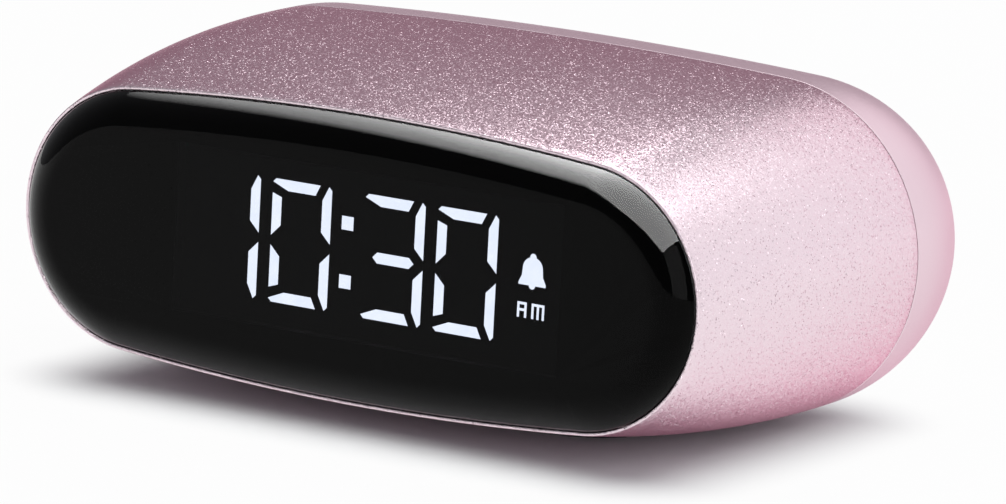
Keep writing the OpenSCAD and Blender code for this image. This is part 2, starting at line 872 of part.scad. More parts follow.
// Slide switch and its knob, which rests at the off end of its travel
slide_rest_x = slide_x - slide_travel / 2;
slide_z = rear_z - lower_z;
slide_h = 3.2;
slide_body_w = 9;
slide_body_h = 4.6;
stem_w = 1.6;
stem_in = 1;
knob_lap = 0.5;
knob_plate_w = thumb_w + 2 * (slide_travel + fit_gap + knob_lap);
knob_plate_h = thumb_w + 2 * (fit_gap + knob_lap);
knob_back_y = inner_back_y - slip_gap;
knob_y = knob_back_y - flange_t;
thumb_back_y = recess_y + button_proud;
slide_body_y = main_board_back_y + slide_h;
module slide_switch() {
    color("#B4B6B8")
        difference() {
            bar(slide_x, slide_z, main_board_back_y, slide_body_y, slide_body_w, slide_body_h);
            bar(slide_x, slide_z, slide_body_y - stem_in - slip_gap, slide_body_y + past,
                stem_w + slide_travel + 2 * fit_gap, stem_w + 2 * fit_gap);
        }
}

module alarm_slide() {
    groove_t = 0.3;
    color("#D9A9BA")
        difference() {
            union() {
                bar(slide_rest_x, slide_z, slide_body_y - stem_in, knob_y, stem_w, stem_w);
                bar(slide_rest_x, slide_z, knob_y, knob_back_y, knob_plate_w, knob_plate_h);
                bar(slide_rest_x, slide_z, knob_y, thumb_back_y, thumb_w, thumb_w);
            }
            for (i = [-1 : 1])
                bar(slide_rest_x + i * thumb_w / 4, slide_z, thumb_back_y - groove_t,
                    thumb_back_y + past, groove_t, thumb_w + past);
        }
}

// Rear cover: crowned outside, hollow inside, with a lip that enters the shell
lip_t = 1.2;
lip_root = 2.6;
lip_inset = case_wall + fit_gap;
tube_bore_d = case_screw_d + 2 * fit_gap;
head_bore_d = head_d(case_screw_d) + 2 * fit_gap;
screw_seat_y = back_y - screw_sink;
recess_border = 1.1;
recess_h = button_d + 2 * recess_border;
recess_w = 3 * button_pitch + recess_h;
slide_border = 1.3;
slide_recess_h = thumb_w + 2 * slide_border;
slide_recess_w = slide_recess_h + slide_travel + thumb_w / 2;
usb_border = 2.2;
usb_recess_w = usb_w + 2 * usb_border;
usb_recess_h = usb_h + 2 * usb_border;

function rear_ring(depth, inset) = [seam_y + depth, grown(seam_oval, -inset), rear_z];
function rear_rings(inset, deepest) =
    [for (turn = crown_turns)
        if (crown_depth(turn) < deepest)
            rear_ring(crown_depth(turn), inset + crown_inset(turn))];

// Inset of the outside at the depth of the cover's inner back
inner_depth = rear_len - back_wall;
inner_inset = inner_depth < rear_straight + rear_crown_r * sin(crown_angle)
    ? crown_inset(asin((inner_depth - rear_straight) / rear_crown_r))
    : crown_inset(asin((inner_depth - rear_len + rear_edge_r) / rear_edge_r));

module cover_ring(from_y, thickness, outer_inset, inner_inset) {
    plate(from_y, thickness, rear_z)
        difference() {
            polygon(oval_points(grown(seam_oval, -outer_inset)));
            polygon(oval_points(grown(seam_oval, -inner_inset)));
        }
}

module cover_fittings() {
    translate([0, 0, rear_z]) {
        at_corners(case_screw_x, case_screw_z)
            rod(0, 0, cover_tube_y, inner_back_y + past, boss_d);
        at_corners(standoff_x, standoff_z)
            rod(0, 0, main_board_back_y, inner_back_y + past, post_d);
    }
    cover_ring(cover_y, lip_root, case_wall / 2, lip_inset + lip_t);
    cover_ring(lip_y, lip_len + skin, lip_inset, lip_inset + lip_t);
}

module cover_cuts() {
    through = back_wall + 2 * past;
    plate(recess_y, recess_t + past, row_z)
        pill(recess_w, recess_h);
    plate(recess_y, recess_t + past, slide_z)
        translate([slide_x, 0])
            pill(slide_recess_w, slide_recess_h);
    plate(recess_y, recess_t + past, slide_z)
        pill(usb_recess_w, usb_recess_h);
    for (i = [0 : 3])
        rod(button_x(i), row_z, inner_back_y - past, back_y + past, button_hole_d);
    plate(inner_back_y - past, through, slide_z)
        translate([slide_x, 0])
            square([thumb_w + slide_travel + 2 * fit_gap, thumb_w + 2 * fit_gap], center = true);
    plate(inner_back_y - past, through, slide_z)
        pill(usb_w + 2 * fit_gap, usb_h + 2 * fit_gap);
    rod(-buzzer_x, slide_z, inner_back_y - past, back_y + past, sound_hole_d);
    for (i = [0 : 5])
        rod(-buzzer_x + sound_pitch * cos(60 * i), slide_z + sound_pitch * sin(60 * i),
            inner_back_y - past, back_y + past, sound_hole_d);
    translate([0, 0, rear_z]) {
        at_corners(case_screw_x, case_screw_z) {
            rod(0, 0, cover_tube_y - past, back_y, tube_bore_d);
            rod(0, 0, screw_seat_y, back_y + past, head_bore_d);
        }
        at_corners(standoff_x, standoff_z)
            rod(0, 0, main_board_back_y - past, main_board_y + board_screw_len + thread_gap, post_bore_d);
    }
}

module rear_cover() {
    color("#C9A0B0")
        difference() {
            union() {
                difference() {
                    loft(concat([rear_ring(seam_gap, 0)], rear_rings(0, rear_len + past)));
                    loft(concat(
                        [rear_ring(-past, case_wall)],
                        rear_rings(case_wall, inner_depth - skin),
                        [rear_ring(inner_depth, case_wall + inner_inset)]
                    ));
                }
                cover_fittings();
            }
            cover_cuts();
        }
}

module case_screws() {
    color("#B9BBBE")
        translate([0, 0, rear_z])
            at_corners(case_screw_x, case_screw_z)
                pan_screw(screw_seat_y, case_screw_d, case_screw_len, -1);
}

module foot_pad() {
    color("#3A3A3C")
        linear_extrude(height = foot_t)
            foot_outline();
}

front_shell();
front_lens();
lens_tape();
segment_block();
lit_segments();
unlit_segments();
segment_leds();
display_board();
display_screws();
ribbon_sockets();
display_ribbon();
battery_tray();
battery_cell();
battery_contacts();
battery_leads();
main_board();
board_chips();
board_screws();
buzzer();
usb_inlet();
usb_tongue();
tact_switches();
time_plunger();
alarm_plunger();
up_plunger();
down_plunger();
slide_switch();
rear_cover();
time_button();
alarm_button();
up_button();
down_button();
alarm_slide();
case_screws();
foot_pad();
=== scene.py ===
import math

import bmesh
import bpy
from mathutils import Matrix, Vector


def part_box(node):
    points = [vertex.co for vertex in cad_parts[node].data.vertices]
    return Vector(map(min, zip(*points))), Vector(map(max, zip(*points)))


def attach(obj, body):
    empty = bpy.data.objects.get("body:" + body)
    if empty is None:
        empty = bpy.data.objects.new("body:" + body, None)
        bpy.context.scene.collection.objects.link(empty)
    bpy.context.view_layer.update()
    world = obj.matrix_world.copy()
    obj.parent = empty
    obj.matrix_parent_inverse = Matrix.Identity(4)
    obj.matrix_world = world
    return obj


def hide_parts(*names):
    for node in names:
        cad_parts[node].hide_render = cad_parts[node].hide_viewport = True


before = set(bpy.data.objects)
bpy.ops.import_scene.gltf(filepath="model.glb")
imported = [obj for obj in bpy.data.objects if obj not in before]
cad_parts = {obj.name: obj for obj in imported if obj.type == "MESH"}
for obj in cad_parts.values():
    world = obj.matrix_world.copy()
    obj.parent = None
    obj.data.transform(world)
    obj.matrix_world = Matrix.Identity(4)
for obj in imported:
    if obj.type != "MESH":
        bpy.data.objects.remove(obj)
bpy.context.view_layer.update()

# Front shell: a cast aluminium barrel that swells from the lens to the seam, with a bulkhead
# behind the lens that carries the display. It is bead-blasted to a fine sparkling grain, then
# dyed pink as it is anodised.
MM = 0.001
shell_low, shell_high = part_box("front_shell")
lens_low, lens_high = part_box("front_lens")
block_low, block_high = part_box("segment_block")
foot_low, foot_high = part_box("foot_pad")
rim_y, seam_y = shell_low.y, shell_high.y
bulkhead_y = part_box("lens_tape")[1].y
bulkhead_t = 1.5 * MM
wall_t = 2 * MM
rim_w = 0.5 * MM
lens_gap = 0.1 * MM
window_gap = 0.5 * MM
foot_gap = 0.15 * MM
rim_round = 0.14 * MM
seam_round = 0.12 * MM
draft = 0.05 * MM
end_steps = 52
top_steps = 20
swell_steps = 24
cavity_steps = 8
round_steps = 4
crease = math.radians(27)
pill_steps = 24


def half_sizes(low, high, ease):
    """Half width, half height and end radius of an oval, its ends a little tighter than its half height"""
    half_h = (high.z - low.z) / 2
    return Vector(((high.x - low.x) / 2, half_h, half_h - ease))


def grown(oval, by):
    """The oval that runs parallel to another"""
    return oval + Vector((by, by, by))


lens_oval = half_sizes(lens_low, lens_high, ease=1.4 * MM)
seam_oval = half_sizes(shell_low, shell_high, ease=0.85 * MM)
rim_oval = grown(lens_oval, rim_w)
lens_z = (lens_low.z + lens_high.z) / 2
seam_z = (shell_low.z + shell_high.z) / 2


def round_loop(bm, start, arcs, straight=0):
    """Spins a vertex through arcs of given centres, turns and steps, with straight runs between them"""
    first = last = bm.verts.new(start)
    for x, y, z, turn, steps in arcs:
        straight = -straight
        spun = bmesh.ops.spin(bm, geom=[last], cent=(x, y, z), axis=(0, -1, 0), angle=turn, steps=steps)
        last = next(part for part in spun["geom_last"] if isinstance(part, bmesh.types.BMVert))
        if straight:
            last = bmesh.ops.extrude_vert_indiv(bm, verts=[last])["verts"][0]
            last.co.x += straight
    bmesh.ops.weld_verts(bm, targetmap={last: first})
    edges = [first.link_edges[0]]
    here = edges[0].other_vert(first)
    while here != first:
        edges.append(next(edge for edge in here.link_edges if edge != edges[-1]))
        here = edges[-1].other_vert(here)
    return edges


def oval_loop(bm, oval, y, z):
    """Upright oval of four tangent arcs: two ends, a long top and a long bottom"""
    half_w, half_h, end_r = oval
    end_x = half_w - end_r
    top_r = (end_x**2 + half_h**2 - end_r**2) / (2 * (half_h - end_r))
    joint = math.atan2(top_r - half_h, end_x)
    drop = top_r - half_h
    start = (end_x + end_r * math.cos(joint), y, z - end_r * math.sin(joint))
    return round_loop(bm, start, (
        (end_x, y, z, 2 * joint, end_steps),
        (0, y, z - drop, math.pi - 2 * joint, top_steps),
        (-end_x, y, z, 2 * joint, end_steps),
        (0, y, z + drop, math.pi - 2 * joint, top_steps),
    ))


def skin(bm, loops):
    """Walls from each loop to the next, and the faces that they are made of"""
    faces = []
    for here, there in zip(loops, loops[1:]):
        faces += bmesh.ops.bridge_loops(bm, edges=here + there)["faces"]
    return faces


def capped(bm, loops):
    """Solid through a row of loops"""
    skin(bm, loops)
    for end in (loops[0], loops[-1]):
        bmesh.ops.edgeloop_fill(bm, edges=end)


def rounded(bm, edges, radius):
    bmesh.ops.bevel(
        bm, geom=edges, offset=radius, segments=round_steps, profile=0.5, affect="EDGES", material=-1
    )


def add_piece(bm, name, *materials):
    """Closes a bmesh up as a smooth-shaded object with sharp creases"""
    bmesh.ops.recalc_face_normals(bm, faces=bm.faces)
    mesh = bpy.data.meshes.new(name)
    bm.to_mesh(mesh)
    bm.free()
    mesh.shade_smooth()
    mesh.set_sharp_from_angle(angle=crease)
    for material in materials:
        mesh.materials.append(material)
    piece = bpy.data.objects.new(name, mesh)
    bpy.context.collection.objects.link(piece)
    return piece


def fit(piece, body, slot, *nodes):
    """Puts a piece on its body in place of the plain solids"""
    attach(piece, body)
    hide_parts(*nodes)


def cut(piece, bm, operation="DIFFERENCE", sharp=crease):
    """Cuts the closed shapes of a bmesh out of a piece, or joins them to it"""
    tool = add_piece(bm, piece.name + "_tool")
    change = piece.modifiers.new("cut", "BOOLEAN")
    change.object = tool
    change.operation = operation
    change.solver = "EXACT"
    graph = bpy.context.evaluated_depsgraph_get()
    mesh = bpy.data.meshes.new_from_object(piece.evaluated_get(graph))
    piece.modifiers.clear()
    piece.data = mesh
    mesh.set_sharp_from_angle(angle=sharp)
    bpy.data.objects.remove(tool)


def linear(colour):
    """sRGB hex colour as linear red, green, blue and alpha"""
    parts = [int(colour[i : i + 2], 16) / 255 for i in (1, 3, 5)]
    return [p / 12.92 if p <= 0.04045 else ((p + 0.055) / 1.055) ** 2.4 for p in parts] + [1]


def feed(tree, node, inputs):
    """Sets a node's inputs, to values or to the outputs of other nodes"""
    for socket, value in inputs.items():
        if isinstance(value, bpy.types.NodeSocket):
            tree.links.new(value, node.inputs[socket])
        else:
            node.inputs[socket].default_value = value


def add(tree, kind, inputs={}, **settings):
    """Adds a node with its settings and links"""
    node = tree.nodes.new("ShaderNode" + kind)
    for name, value in settings.items():
        setattr(node, name, value)
    feed(tree, node, inputs)
    return node


def new_material(name):
    """A material with its node tree, its surface shader and the piece's own coordinates"""
    material = bpy.data.materials.new(name)
    material.use_nodes = True
    tree = material.node_tree
    return material, tree, tree.nodes["Principled BSDF"], add(tree, "TexCoord").outputs["Object"]


# Blasted aluminium: beads leave dents of a few hundredths of a millimetre, drawn here at an
# eighth of a millimetre so that they show. Each dent tilts its own bit of metal, a few of
# them by far more than the rest, and these sparkle. A few dents are also painted paler, as
# painted glints. The dye shows deeper at a low angle.
dent_size = 0.13 * MM
usual_lean, deepest_lean = 0.17, 1.2
deep_rarity = 5
painted_glint_rarity = 7
blasted, tree, surface, place = new_material("blasted_anodised_aluminium")
dents = add(tree, "TexVoronoi", {"Vector": place, "Scale": 1 / dent_size})
split = add(tree, "SeparateColor", {"Color": dents.outputs["Color"]})
# A few dents are painted paler: painted glints
painted_glint = add(tree, "Math", {0: split.outputs["Red"], 1: painted_glint_rarity}, operation="POWER")
tone = add(tree, "Mix", {
    "Factor": split.outputs["Green"], 6: linear("#F0DDE5"), 7: linear("#F2E0E8"),
}, data_type="RGBA")
dye_and_painted_glints = add(tree, "Mix", {
    "Factor": painted_glint.outputs["Value"], 6: tone.outputs[2], 7: linear("#F8E9EF"),
}, data_type="RGBA")
chance = add(tree, "TexWhiteNoise", {"Vector": dents.outputs["Position"]})
glint = add(tree, "Math", {0: chance.outputs["Value"], 1: deep_rarity}, operation="POWER")
depth = add(tree, "MapRange", {
    "Value": glint.outputs["Value"], "To Min": usual_lean, "To Max": deepest_lean,
})
lean = add(tree, "VectorMath", {0: dents.outputs["Color"], 1: (0.5, 0.5, 0.5)}, operation="SUBTRACT")
leaned = add(tree, "VectorMath", {
    0: lean.outputs["Vector"], 1: depth.outputs["Result"], 2: add(tree, "NewGeometry").outputs["Normal"],
}, operation="MULTIPLY_ADD")
facing = add(tree, "VectorMath", {0: leaned.outputs["Vector"]}, operation="NORMALIZE")
feed(tree, surface, {
    "Base Color": dye_and_painted_glints.outputs[2],
    "Metallic": 1,
    "Roughness": 0.28,
    "Specular Tint": linear("#F2ACC3"),
    "Normal": facing.outputs["Vector"],
})

bm = bmesh.new()
outer = []
inner = []
cavity_share = (bulkhead_y + bulkhead_t - rim_y) / (seam_y - rim_y)
for loops, first_share, inset, steps in (
    (outer, 0, 0, swell_steps), (inner, cavity_share, wall_t, cavity_steps),
):
    for step in range(steps + 1):
        share = first_share + (1 - first_share) * step / steps
        swell = 1 - (1 - share) ** 2
        loops.append(oval_loop(
            bm,
            grown(rim_oval.lerp(seam_oval, swell), -inset),
            rim_y + share * (seam_y - rim_y) - (draft if inset else 0),
            lens_z + swell * (seam_z - lens_z),
        ))
bore = [oval_loop(bm, grown(lens_oval, lens_gap), y, lens_z) for y in (bulkhead_y, rim_y + draft)]
capped(bm, bore + outer + inner[::-1])
rounded(bm, outer[0] + bore[1], rim_round)
rounded(bm, outer[-1], seam_round)
shell = add_piece(bm, "shell_casting", blasted)


def pill_loop(bm, w, h, x, y, z):
    """Upright outline with two rounded ends"""
    reach = (w - h) / 2
    arcs = [(x + side * reach, y, z, math.pi, pill_steps) for side in (1, -1)]
    return round_loop(bm, (x + reach, y, z - h / 2), arcs, straight=2 * reach)


def rod(bm, d, x, z, first_y, last_y):
    capped(bm, [pill_loop(bm, d, d, x, y, z) for y in (first_y, last_y)])


def block(bm, low, high):
    """Square block between two corners"""
    verts = bmesh.ops.create_cube(bm, size=1)["verts"]
    bmesh.ops.scale(bm, verts=verts, vec=Vector(high) - Vector(low))
    bmesh.ops.translate(bm, verts=verts, vec=(Vector(low) + Vector(high)) / 2)


# Inside it, posts for the display's screws, ribbed bosses for the case's and a seat for the
# battery's tray, which also backs the foot's pocket.
past = 1 * MM
post_d = 5 * MM
display_post_x, display_post_z = 36.5 * MM, 5.5 * MM
display_thread_d = 2.1 * MM
head_d = 4.68 * MM
case_thread_d = 2.7 * MM
tube_d = 7 * MM
boss_len = 8 * MM
boss_gap = 0.1 * MM
rib_t = 1.6 * MM
rib_end_x = 48 * MM
seat_border = 2 * MM
seat_foot_z = foot_high.z + draft
seat_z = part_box("battery_tray")[0].z
display_board_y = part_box("display_board")[0].y
display_screw_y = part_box("display_screws")[0].y
case_screw_low, case_screw_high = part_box("case_screws")
boss_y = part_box("rear_cover")[0].y - boss_gap
boss_foot_y = boss_y - boss_len
screw_x = case_screw_high.x - head_d / 2
screw_z = case_screw_high.z - head_d / 2 - seam_z
screw_places = [(a * screw_x, seam_z + b * screw_z) for a in (-1, 1) for b in (-1, 1)]
display_places = [(a * display_post_x, lens_z + b * display_post_z) for a in (-1, 1) for b in (-1, 1)]

bm = bmesh.new()
for x, z in display_places:
    rod(bm, post_d, x, z, bulkhead_y + bulkhead_t / 2, display_board_y)
for x, z in screw_places:
    rod(bm, tube_d, x, z, boss_foot_y, boss_y)
cut(shell, bm, "UNION")
bm = bmesh.new()
for x, z in screw_places:
    first_x, last_x = sorted((x, math.copysign(rib_end_x, x)))
    block(bm, (first_x, boss_foot_y + draft, z - rib_t / 2), (last_x, boss_y - draft, z + rib_t / 2))
seat_x = foot_high.x + seat_border
block(bm, (-seat_x, foot_low.y - seat_border, seat_foot_z), (seat_x, boss_y - draft, seat_z))
cut(shell, bm, "UNION")

# The screws' bores, the display's window and the pocket under the shell for the foot pad
foot_w, foot_len = foot_high.x - foot_low.x, foot_high.y - foot_low.y
foot_y = (foot_low.y + foot_high.y) / 2
bm = bmesh.new()
capped(bm, [
    pill_loop(bm, foot_w + 2 * foot_gap, foot_len + 2 * foot_gap, 0, y, -foot_y)
    for y in (-foot_high.z, foot_high.z)
])
bmesh.ops.rotate(bm, verts=bm.verts, matrix=Matrix.Rotation(math.radians(90), 3, "X"))
window_border = Vector((window_gap, 0, window_gap))
window_low, window_high = block_low - window_border, block_high + window_border
window_low.y, window_high.y = bulkhead_y - bulkhead_t / 2, bulkhead_y + 3 * bulkhead_t / 2
block(bm, window_low, window_high)
for x, z in display_places:
    rod(bm, display_thread_d, x, z, display_screw_y - draft, display_board_y + past)
for x, z in screw_places:
    rod(bm, case_thread_d, x, z, case_screw_low.y - draft, boss_y + past)
cut(shell, bm)
fit(shell, "case", "shell_metal", "front_shell")

# Lens: tinted acrylic, moulded with a pillowed edge and polished. Its sides and the border of
# its back are printed with black ink, which leaves a clear window over the display.
edge_r = 5 * MM
edge_turn = math.radians(60)
edge_steps = 20
flat_border = 0.4 * MM
smear_size = 9 * MM
mesh_pitch = 0.3 * MM

# Tinted acrylic: dark enough to hide the window's border, with a gloss that faint smears soften
acrylic, tree, surface, place = new_material("polished_tinted_acrylic")
smears = add(tree, "TexNoise", {"Vector": place, "Scale": 1 / smear_size, "Detail": 4})
haze = add(tree, "MapRange", {"Value": smears.outputs["Fac"], "To Min": 0.015, "To Max": 0.04})
feed(tree, surface, {
    "Base Color": linear("#464648"),
    "Roughness": haze.outputs["Result"],
    "IOR": 1.49,
    "Specular Tint": linear("#606060"),
    "Transmission Weight": 1,
})

# Screen ink: a flat black film, with the faint mottling of the mesh it was pressed through
ink, tree, surface, place = new_material("screen_printed_black_ink")
mottle = add(tree, "TexNoise", {"Vector": place, "Scale": 1 / mesh_pitch})
shade = add(tree, "Mix", {
    "Factor": mottle.outputs["Fac"], 6: linear("#0A0A0B"), 7: linear("#101011"),
}, data_type="RGBA")
feed(tree, surface, {"Base Color": shade.outputs[2], "Roughness": 0.6, "Specular IOR Level": 0.2})

bm = bmesh.new()
pillow = []
for step in range(edge_steps + 1):
    turn = edge_turn * step / edge_steps
    inset = edge_r * (math.sin(edge_turn) - math.sin(turn))
    pillow.append(oval_loop(bm, grown(lens_oval, -inset), lens_low.y + edge_r * (1 - math.cos(turn)), lens_z))
skin(bm, pillow)
front = bmesh.ops.edgeloop_fill(bm, edges=pillow[0])["faces"]
bmesh.ops.inset_region(bm, faces=front, thickness=flat_border)
back = oval_loop(bm, lens_oval, lens_high.y, lens_z)
printed = skin(bm, [pillow[-1], back]) + bmesh.ops.edgeloop_fill(bm, edges=back)["faces"]
for face in printed:
    face.material_index = 1
for axis in (Vector((1, 0, 0)), Vector((0, 0, 1))):
    for side in (-1, 1):
        flat = [face for face in bm.faces if all(v.co.y > lens_high.y - lens_gap for v in face.verts)]
        bmesh.ops.bisect_plane(
            bm,
            geom=flat + list({edge for face in flat for edge in face.edges}),
            plane_co=window_high if side > 0 else window_low,
            plane_no=axis,
        )
for face in bm.faces:
    x, _, z = face.calc_center_median()
    if face.material_index and window_low.x < x < window_high.x and window_low.z < z < window_high.z:
        face.material_index = 0
lens = add_piece(bm, "lens_moulding", acrylic, ink)
fit(lens, "case", "tinted_lens", "front_lens")


# Display: an adhesive mask, a black segment block and clear guides that carry the light of the
# chips behind them. It is screwed to the bulkhead with its circuit board.
def finish(name, dark, light, grain, roughness, relief=0.0, metallic=0.0):
    """A material whose tone and relief follow a fine grain"""
    material, tree, surface, place = new_material(name)
    mottle = add(tree, "TexNoise", {"Vector": place, "Scale": 1 / grain, "Detail": 3})
    tone = add(tree, "Mix", {
        "Factor": mottle.outputs["Fac"], 6: linear(dark), 7: linear(light),
    }, data_type="RGBA")
    feed(tree, surface, {"Base Color": tone.outputs[2], "Roughness": roughness, "Metallic": metallic})
    if relief:
        bump = add(tree, "Bump", {"Height": mottle.outputs["Fac"], "Distance": relief, "Strength": 0.5})
        feed(tree, surface, {"Normal": bump.outputs["Normal"]})
    return material


def dress(material, *nodes):
    """Gives plain solids a finish"""
    for node in nodes:
        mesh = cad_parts[node].data
        mesh.materials.clear()
        mesh.materials.append(material)


# Segment guides: milky polycarbonate that glows a cool white all through, with faint clouds
cloud_size = 2.5 * MM
glow, tree, surface, place = new_material("lit_milky_polycarbonate")
cloud = add(tree, "TexNoise", {"Vector": place, "Scale": 1 / cloud_size})
light = add(tree, "Mix", {
    "Factor": cloud.outputs["Fac"], 6: linear("#DCE6F2"), 7: linear("#F0F6FF"),
}, data_type="RGBA")
feed(tree, surface, {
    "Base Color": linear("#E6EAF0"),
    "Roughness": 0.4,
    "Emission Color": light.outputs[2],
    "Emission Strength": 16.8,
})

dress(glow, "lit_segments")
dress(finish("pressed_black_foam_tape", "#0C0C0C", "#141414", 0.2 * MM, 0.8, 0.02 * MM), "lens_tape")
dress(finish("moulded_black_abs", "#060607", "#0A0A0B", 0.15 * MM, 0.8, 0.01 * MM), "segment_block")
dress(finish("dark_milky_polycarbonate", "#0E0E10", "#151518", 0.4 * MM, 0.4), "unlit_segments")
dress(finish("led_chip_phosphor", "#D8CFA0", "#EFE9CC", 0.1 * MM, 0.5), "segment_leds")
board_green = finish("solder_masked_glass_epoxy", "#16402F", "#1F5A42", 0.5 * MM, 0.35, 0.01 * MM)
dress(board_green, "display_board", "main_board")
zinc = finish("zinc_plated_steel", "#A7ABB0", "#C9CCD0", 0.25 * MM, 0.32, 0.005 * MM, metallic=1.0)
dress(zinc, "display_screws", "board_screws", "case_screws")

# Flat cable: its polyester film is plugged into a nylon socket on each board
dress(finish("moulded_natural_nylon", "#DDD6C3", "#EFE9DA", 0.3 * MM, 0.45, 0.01 * MM), "ribbon_sockets")
dress(finish("laminated_polyester_film", "#CFCFC8", "#E4E4DE", 0.6 * MM, 0.3), "display_ribbon")

# Power: a shrink-wrapped cell in a moulded tray, with nickel contacts and soldered leads
dress(finish("moulded_grey_abs", "#232326", "#303034", 0.2 * MM, 0.55, 0.01 * MM), "battery_tray")
dress(finish("shrunk_pvc_wrap", "#41719F", "#4E86BC", 0.8 * MM, 0.3, 0.01 * MM), "battery_cell")
dress(finish("rolled_nickel_strip", "#B9BABC", "#D6D7D9", 0.2 * MM, 0.3, 0.003 * MM, 1.0), "battery_contacts")
dress(finish("extruded_pvc_insulation", "#9C2125", "#B92C30", 0.5 * MM, 0.4), "battery_leads")

# Main board: its chips, buzzer, power inlet and switches are soldered to it
dress(finish("moulded_black_epoxy", "#18181A", "#242426", 0.15 * MM, 0.6, 0.01 * MM), "board_chips")
dress(finish("moulded_black_pbt", "#141415", "#1E1E20", 0.2 * MM, 0.5, 0.01 * MM),
      "buzzer", "usb_tongue", "tact_switches")
dress(finish("stamped_stainless_steel", "#B4B7BA", "#D2D4D6", 0.2 * MM, 0.28, 0.003 * MM, 1.0),
      "usb_inlet", "slide_switch")
dress(finish("moulded_red_acetal", "#6B191D", "#82242A", 0.2 * MM, 0.4, 0.005 * MM),
      "time_plunger", "alarm_plunger", "up_plunger", "down_plunger")

# Rear cover: a moulded shell with a crowned side and a flat back, sprayed with a metallic satin
# paint that is close to the shell's pink. A lip inside the seam centres it, and four screws in
# deep wells hold it.
cover_low, cover_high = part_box("rear_cover")
tube_y, back_y = cover_low.y, cover_high.y
lip_step = 0.7 * MM
lip_y = tube_y + lip_step
seam_gap = 0.2 * MM
cover_y = seam_y + seam_gap
back_wall = 2.9 * MM
straight = 2.3 * MM
crown_r = 26 * MM
back_edge_r = 4.5 * MM
crown_steps = 10
lip_inset = 2.15 * MM
lip_t = 1.2 * MM
lip_root = 2.6 * MM
crown_turn = math.asin((back_y - seam_y - back_edge_r - straight) / (crown_r - back_edge_r))

# Painted plastic: metal flakes give the paint an even satin sheen, and it dries with a fine
# orange peel and a slow drift of tone
peel_size = 0.35 * MM
peel_t = 0.012 * MM
drift_size = 12 * MM
satin, tree, surface, place = new_material("satin_painted_abs")
peel = add(tree, "TexNoise", {"Vector": place, "Scale": 1 / peel_size, "Detail": 2})
drift = add(tree, "TexNoise", {"Vector": place, "Scale": 1 / drift_size})
tone = add(tree, "Mix", {
    "Factor": drift.outputs["Fac"], 6: linear("#EDD8E0"), 7: linear("#F1DEE5"),
}, data_type="RGBA")
bump = add(tree, "Bump", {"Height": peel.outputs["Fac"], "Distance": peel_t, "Strength": 0.5})
sheen = add(tree, "MapRange", {"Value": peel.outputs["Fac"], "To Min": 0.34, "To Max": 0.46})
feed(tree, surface, {
    "Base Color": tone.outputs[2],
    "Metallic": 0.92,
    "Roughness": sheen.outputs["Result"],
    "Specular Tint": linear("#F0C4D4"),
    "Normal": bump.outputs["Normal"],
})


def crown(turn):
    """Depth behind the seam and inset of the cover's side where it has turned in by an angle"""
    depth = straight + crown_r * math.sin(min(turn, crown_turn))
    inset = crown_r * (1 - math.cos(min(turn, crown_turn)))
    if turn > crown_turn:
        depth += back_edge_r * (math.sin(turn) - math.sin(crown_turn))
        inset += back_edge_r * (math.cos(crown_turn) - math.cos(turn))
    return depth, inset


turns = [crown_turn * i / crown_steps for i in range(crown_steps)]
turns += [crown_turn + (math.pi / 2 - crown_turn) * i / crown_steps for i in range(crown_steps + 1)]
inner_back_y = back_y - back_wall


def side_loops(bm, inset, first_y, last_y):
    """Loops along the cover's side between two places"""
    return [
        oval_loop(bm, grown(seam_oval, -inset - drawn_in), seam_y + depth, seam_z)
        for depth, drawn_in in map(crown, turns)
        if first_y < seam_y + depth <= last_y
    ]


bm = bmesh.new()
outside = [oval_loop(bm, seam_oval, cover_y, seam_z)] + side_loops(bm, 0, cover_y, back_y + past)
lip = [
    oval_loop(bm, grown(seam_oval, -inset), y, seam_z)
    for inset, y in (
        (wall_t, cover_y + lip_root),
        (lip_inset + lip_t, cover_y + lip_root - draft),
        (lip_inset + lip_t, lip_y + draft),
        (lip_inset, lip_y),
        (lip_inset, cover_y + draft),
    )
]
hollow = side_loops(bm, wall_t, cover_y + lip_root, inner_back_y)
drawn_in = next(crown(turn)[1] for turn in turns if crown(turn)[0] > inner_back_y - seam_y)
hollow.append(oval_loop(bm, grown(seam_oval, -wall_t - drawn_in), inner_back_y, seam_z))
skin(bm, hollow[::-1] + lip + outside)
bmesh.ops.edgeloop_fill(bm, edges=hollow[-1])
panel = bmesh.ops.edgeloop_fill(bm, edges=outside[-1])["faces"]
bmesh.ops.inset_region(bm, faces=panel, thickness=flat_border)
rounded(bm, outside[0], seam_round)
cover = add_piece(bm, "cover_moulding", satin)


def opening(bm, w, h, x, z, floor_y, mouth_y):
    """Cutter for a hole whose mouth is rounded over"""
    rings = [(0, floor_y)]
    for step in range(mouth_steps + 1):
        turn = math.pi / 2 * step / mouth_steps
        rings.append((mouth_r * (1 - math.cos(turn)), mouth_y - mouth_r * (1 - math.sin(turn))))
    rings.append((mouth_r, mouth_y + past))
    capped(bm, [pill_loop(bm, w + 2 * flare, h + 2 * flare, x, y, z) for flare, y in rings])


# Inside it, tubes for the case's screws and posts for the board's. Outside, a recess for each
# group of controls, the wells of the screws and holes for the sound.
slack = 0.3 * MM
mouth_r = 0.25 * MM
mouth_steps = 4
mouth_crease = math.radians(10)
recess_t = 1 * MM
recess_y = back_y - recess_t
screw_sink = 9 * MM
post_x, post_z = 29 * MM, 11.5 * MM
post_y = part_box("main_board")[1].y
key_d = 7 * MM
key_border = 1.1 * MM
thumb_w = 3.2 * MM
thumb_border = 1.3 * MM
thumb_travel = 2 * MM
inlet_border = 2.2 * MM
sound_hole_d = 1.5 * MM
sound_pitch = 2.8 * MM
sound_ring = 6
post_places = [(a * post_x, seam_z + b * post_z) for a in (-1, 1) for b in (-1, 1)]


def middle(node):
    low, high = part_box(node)
    return (low + high) / 2


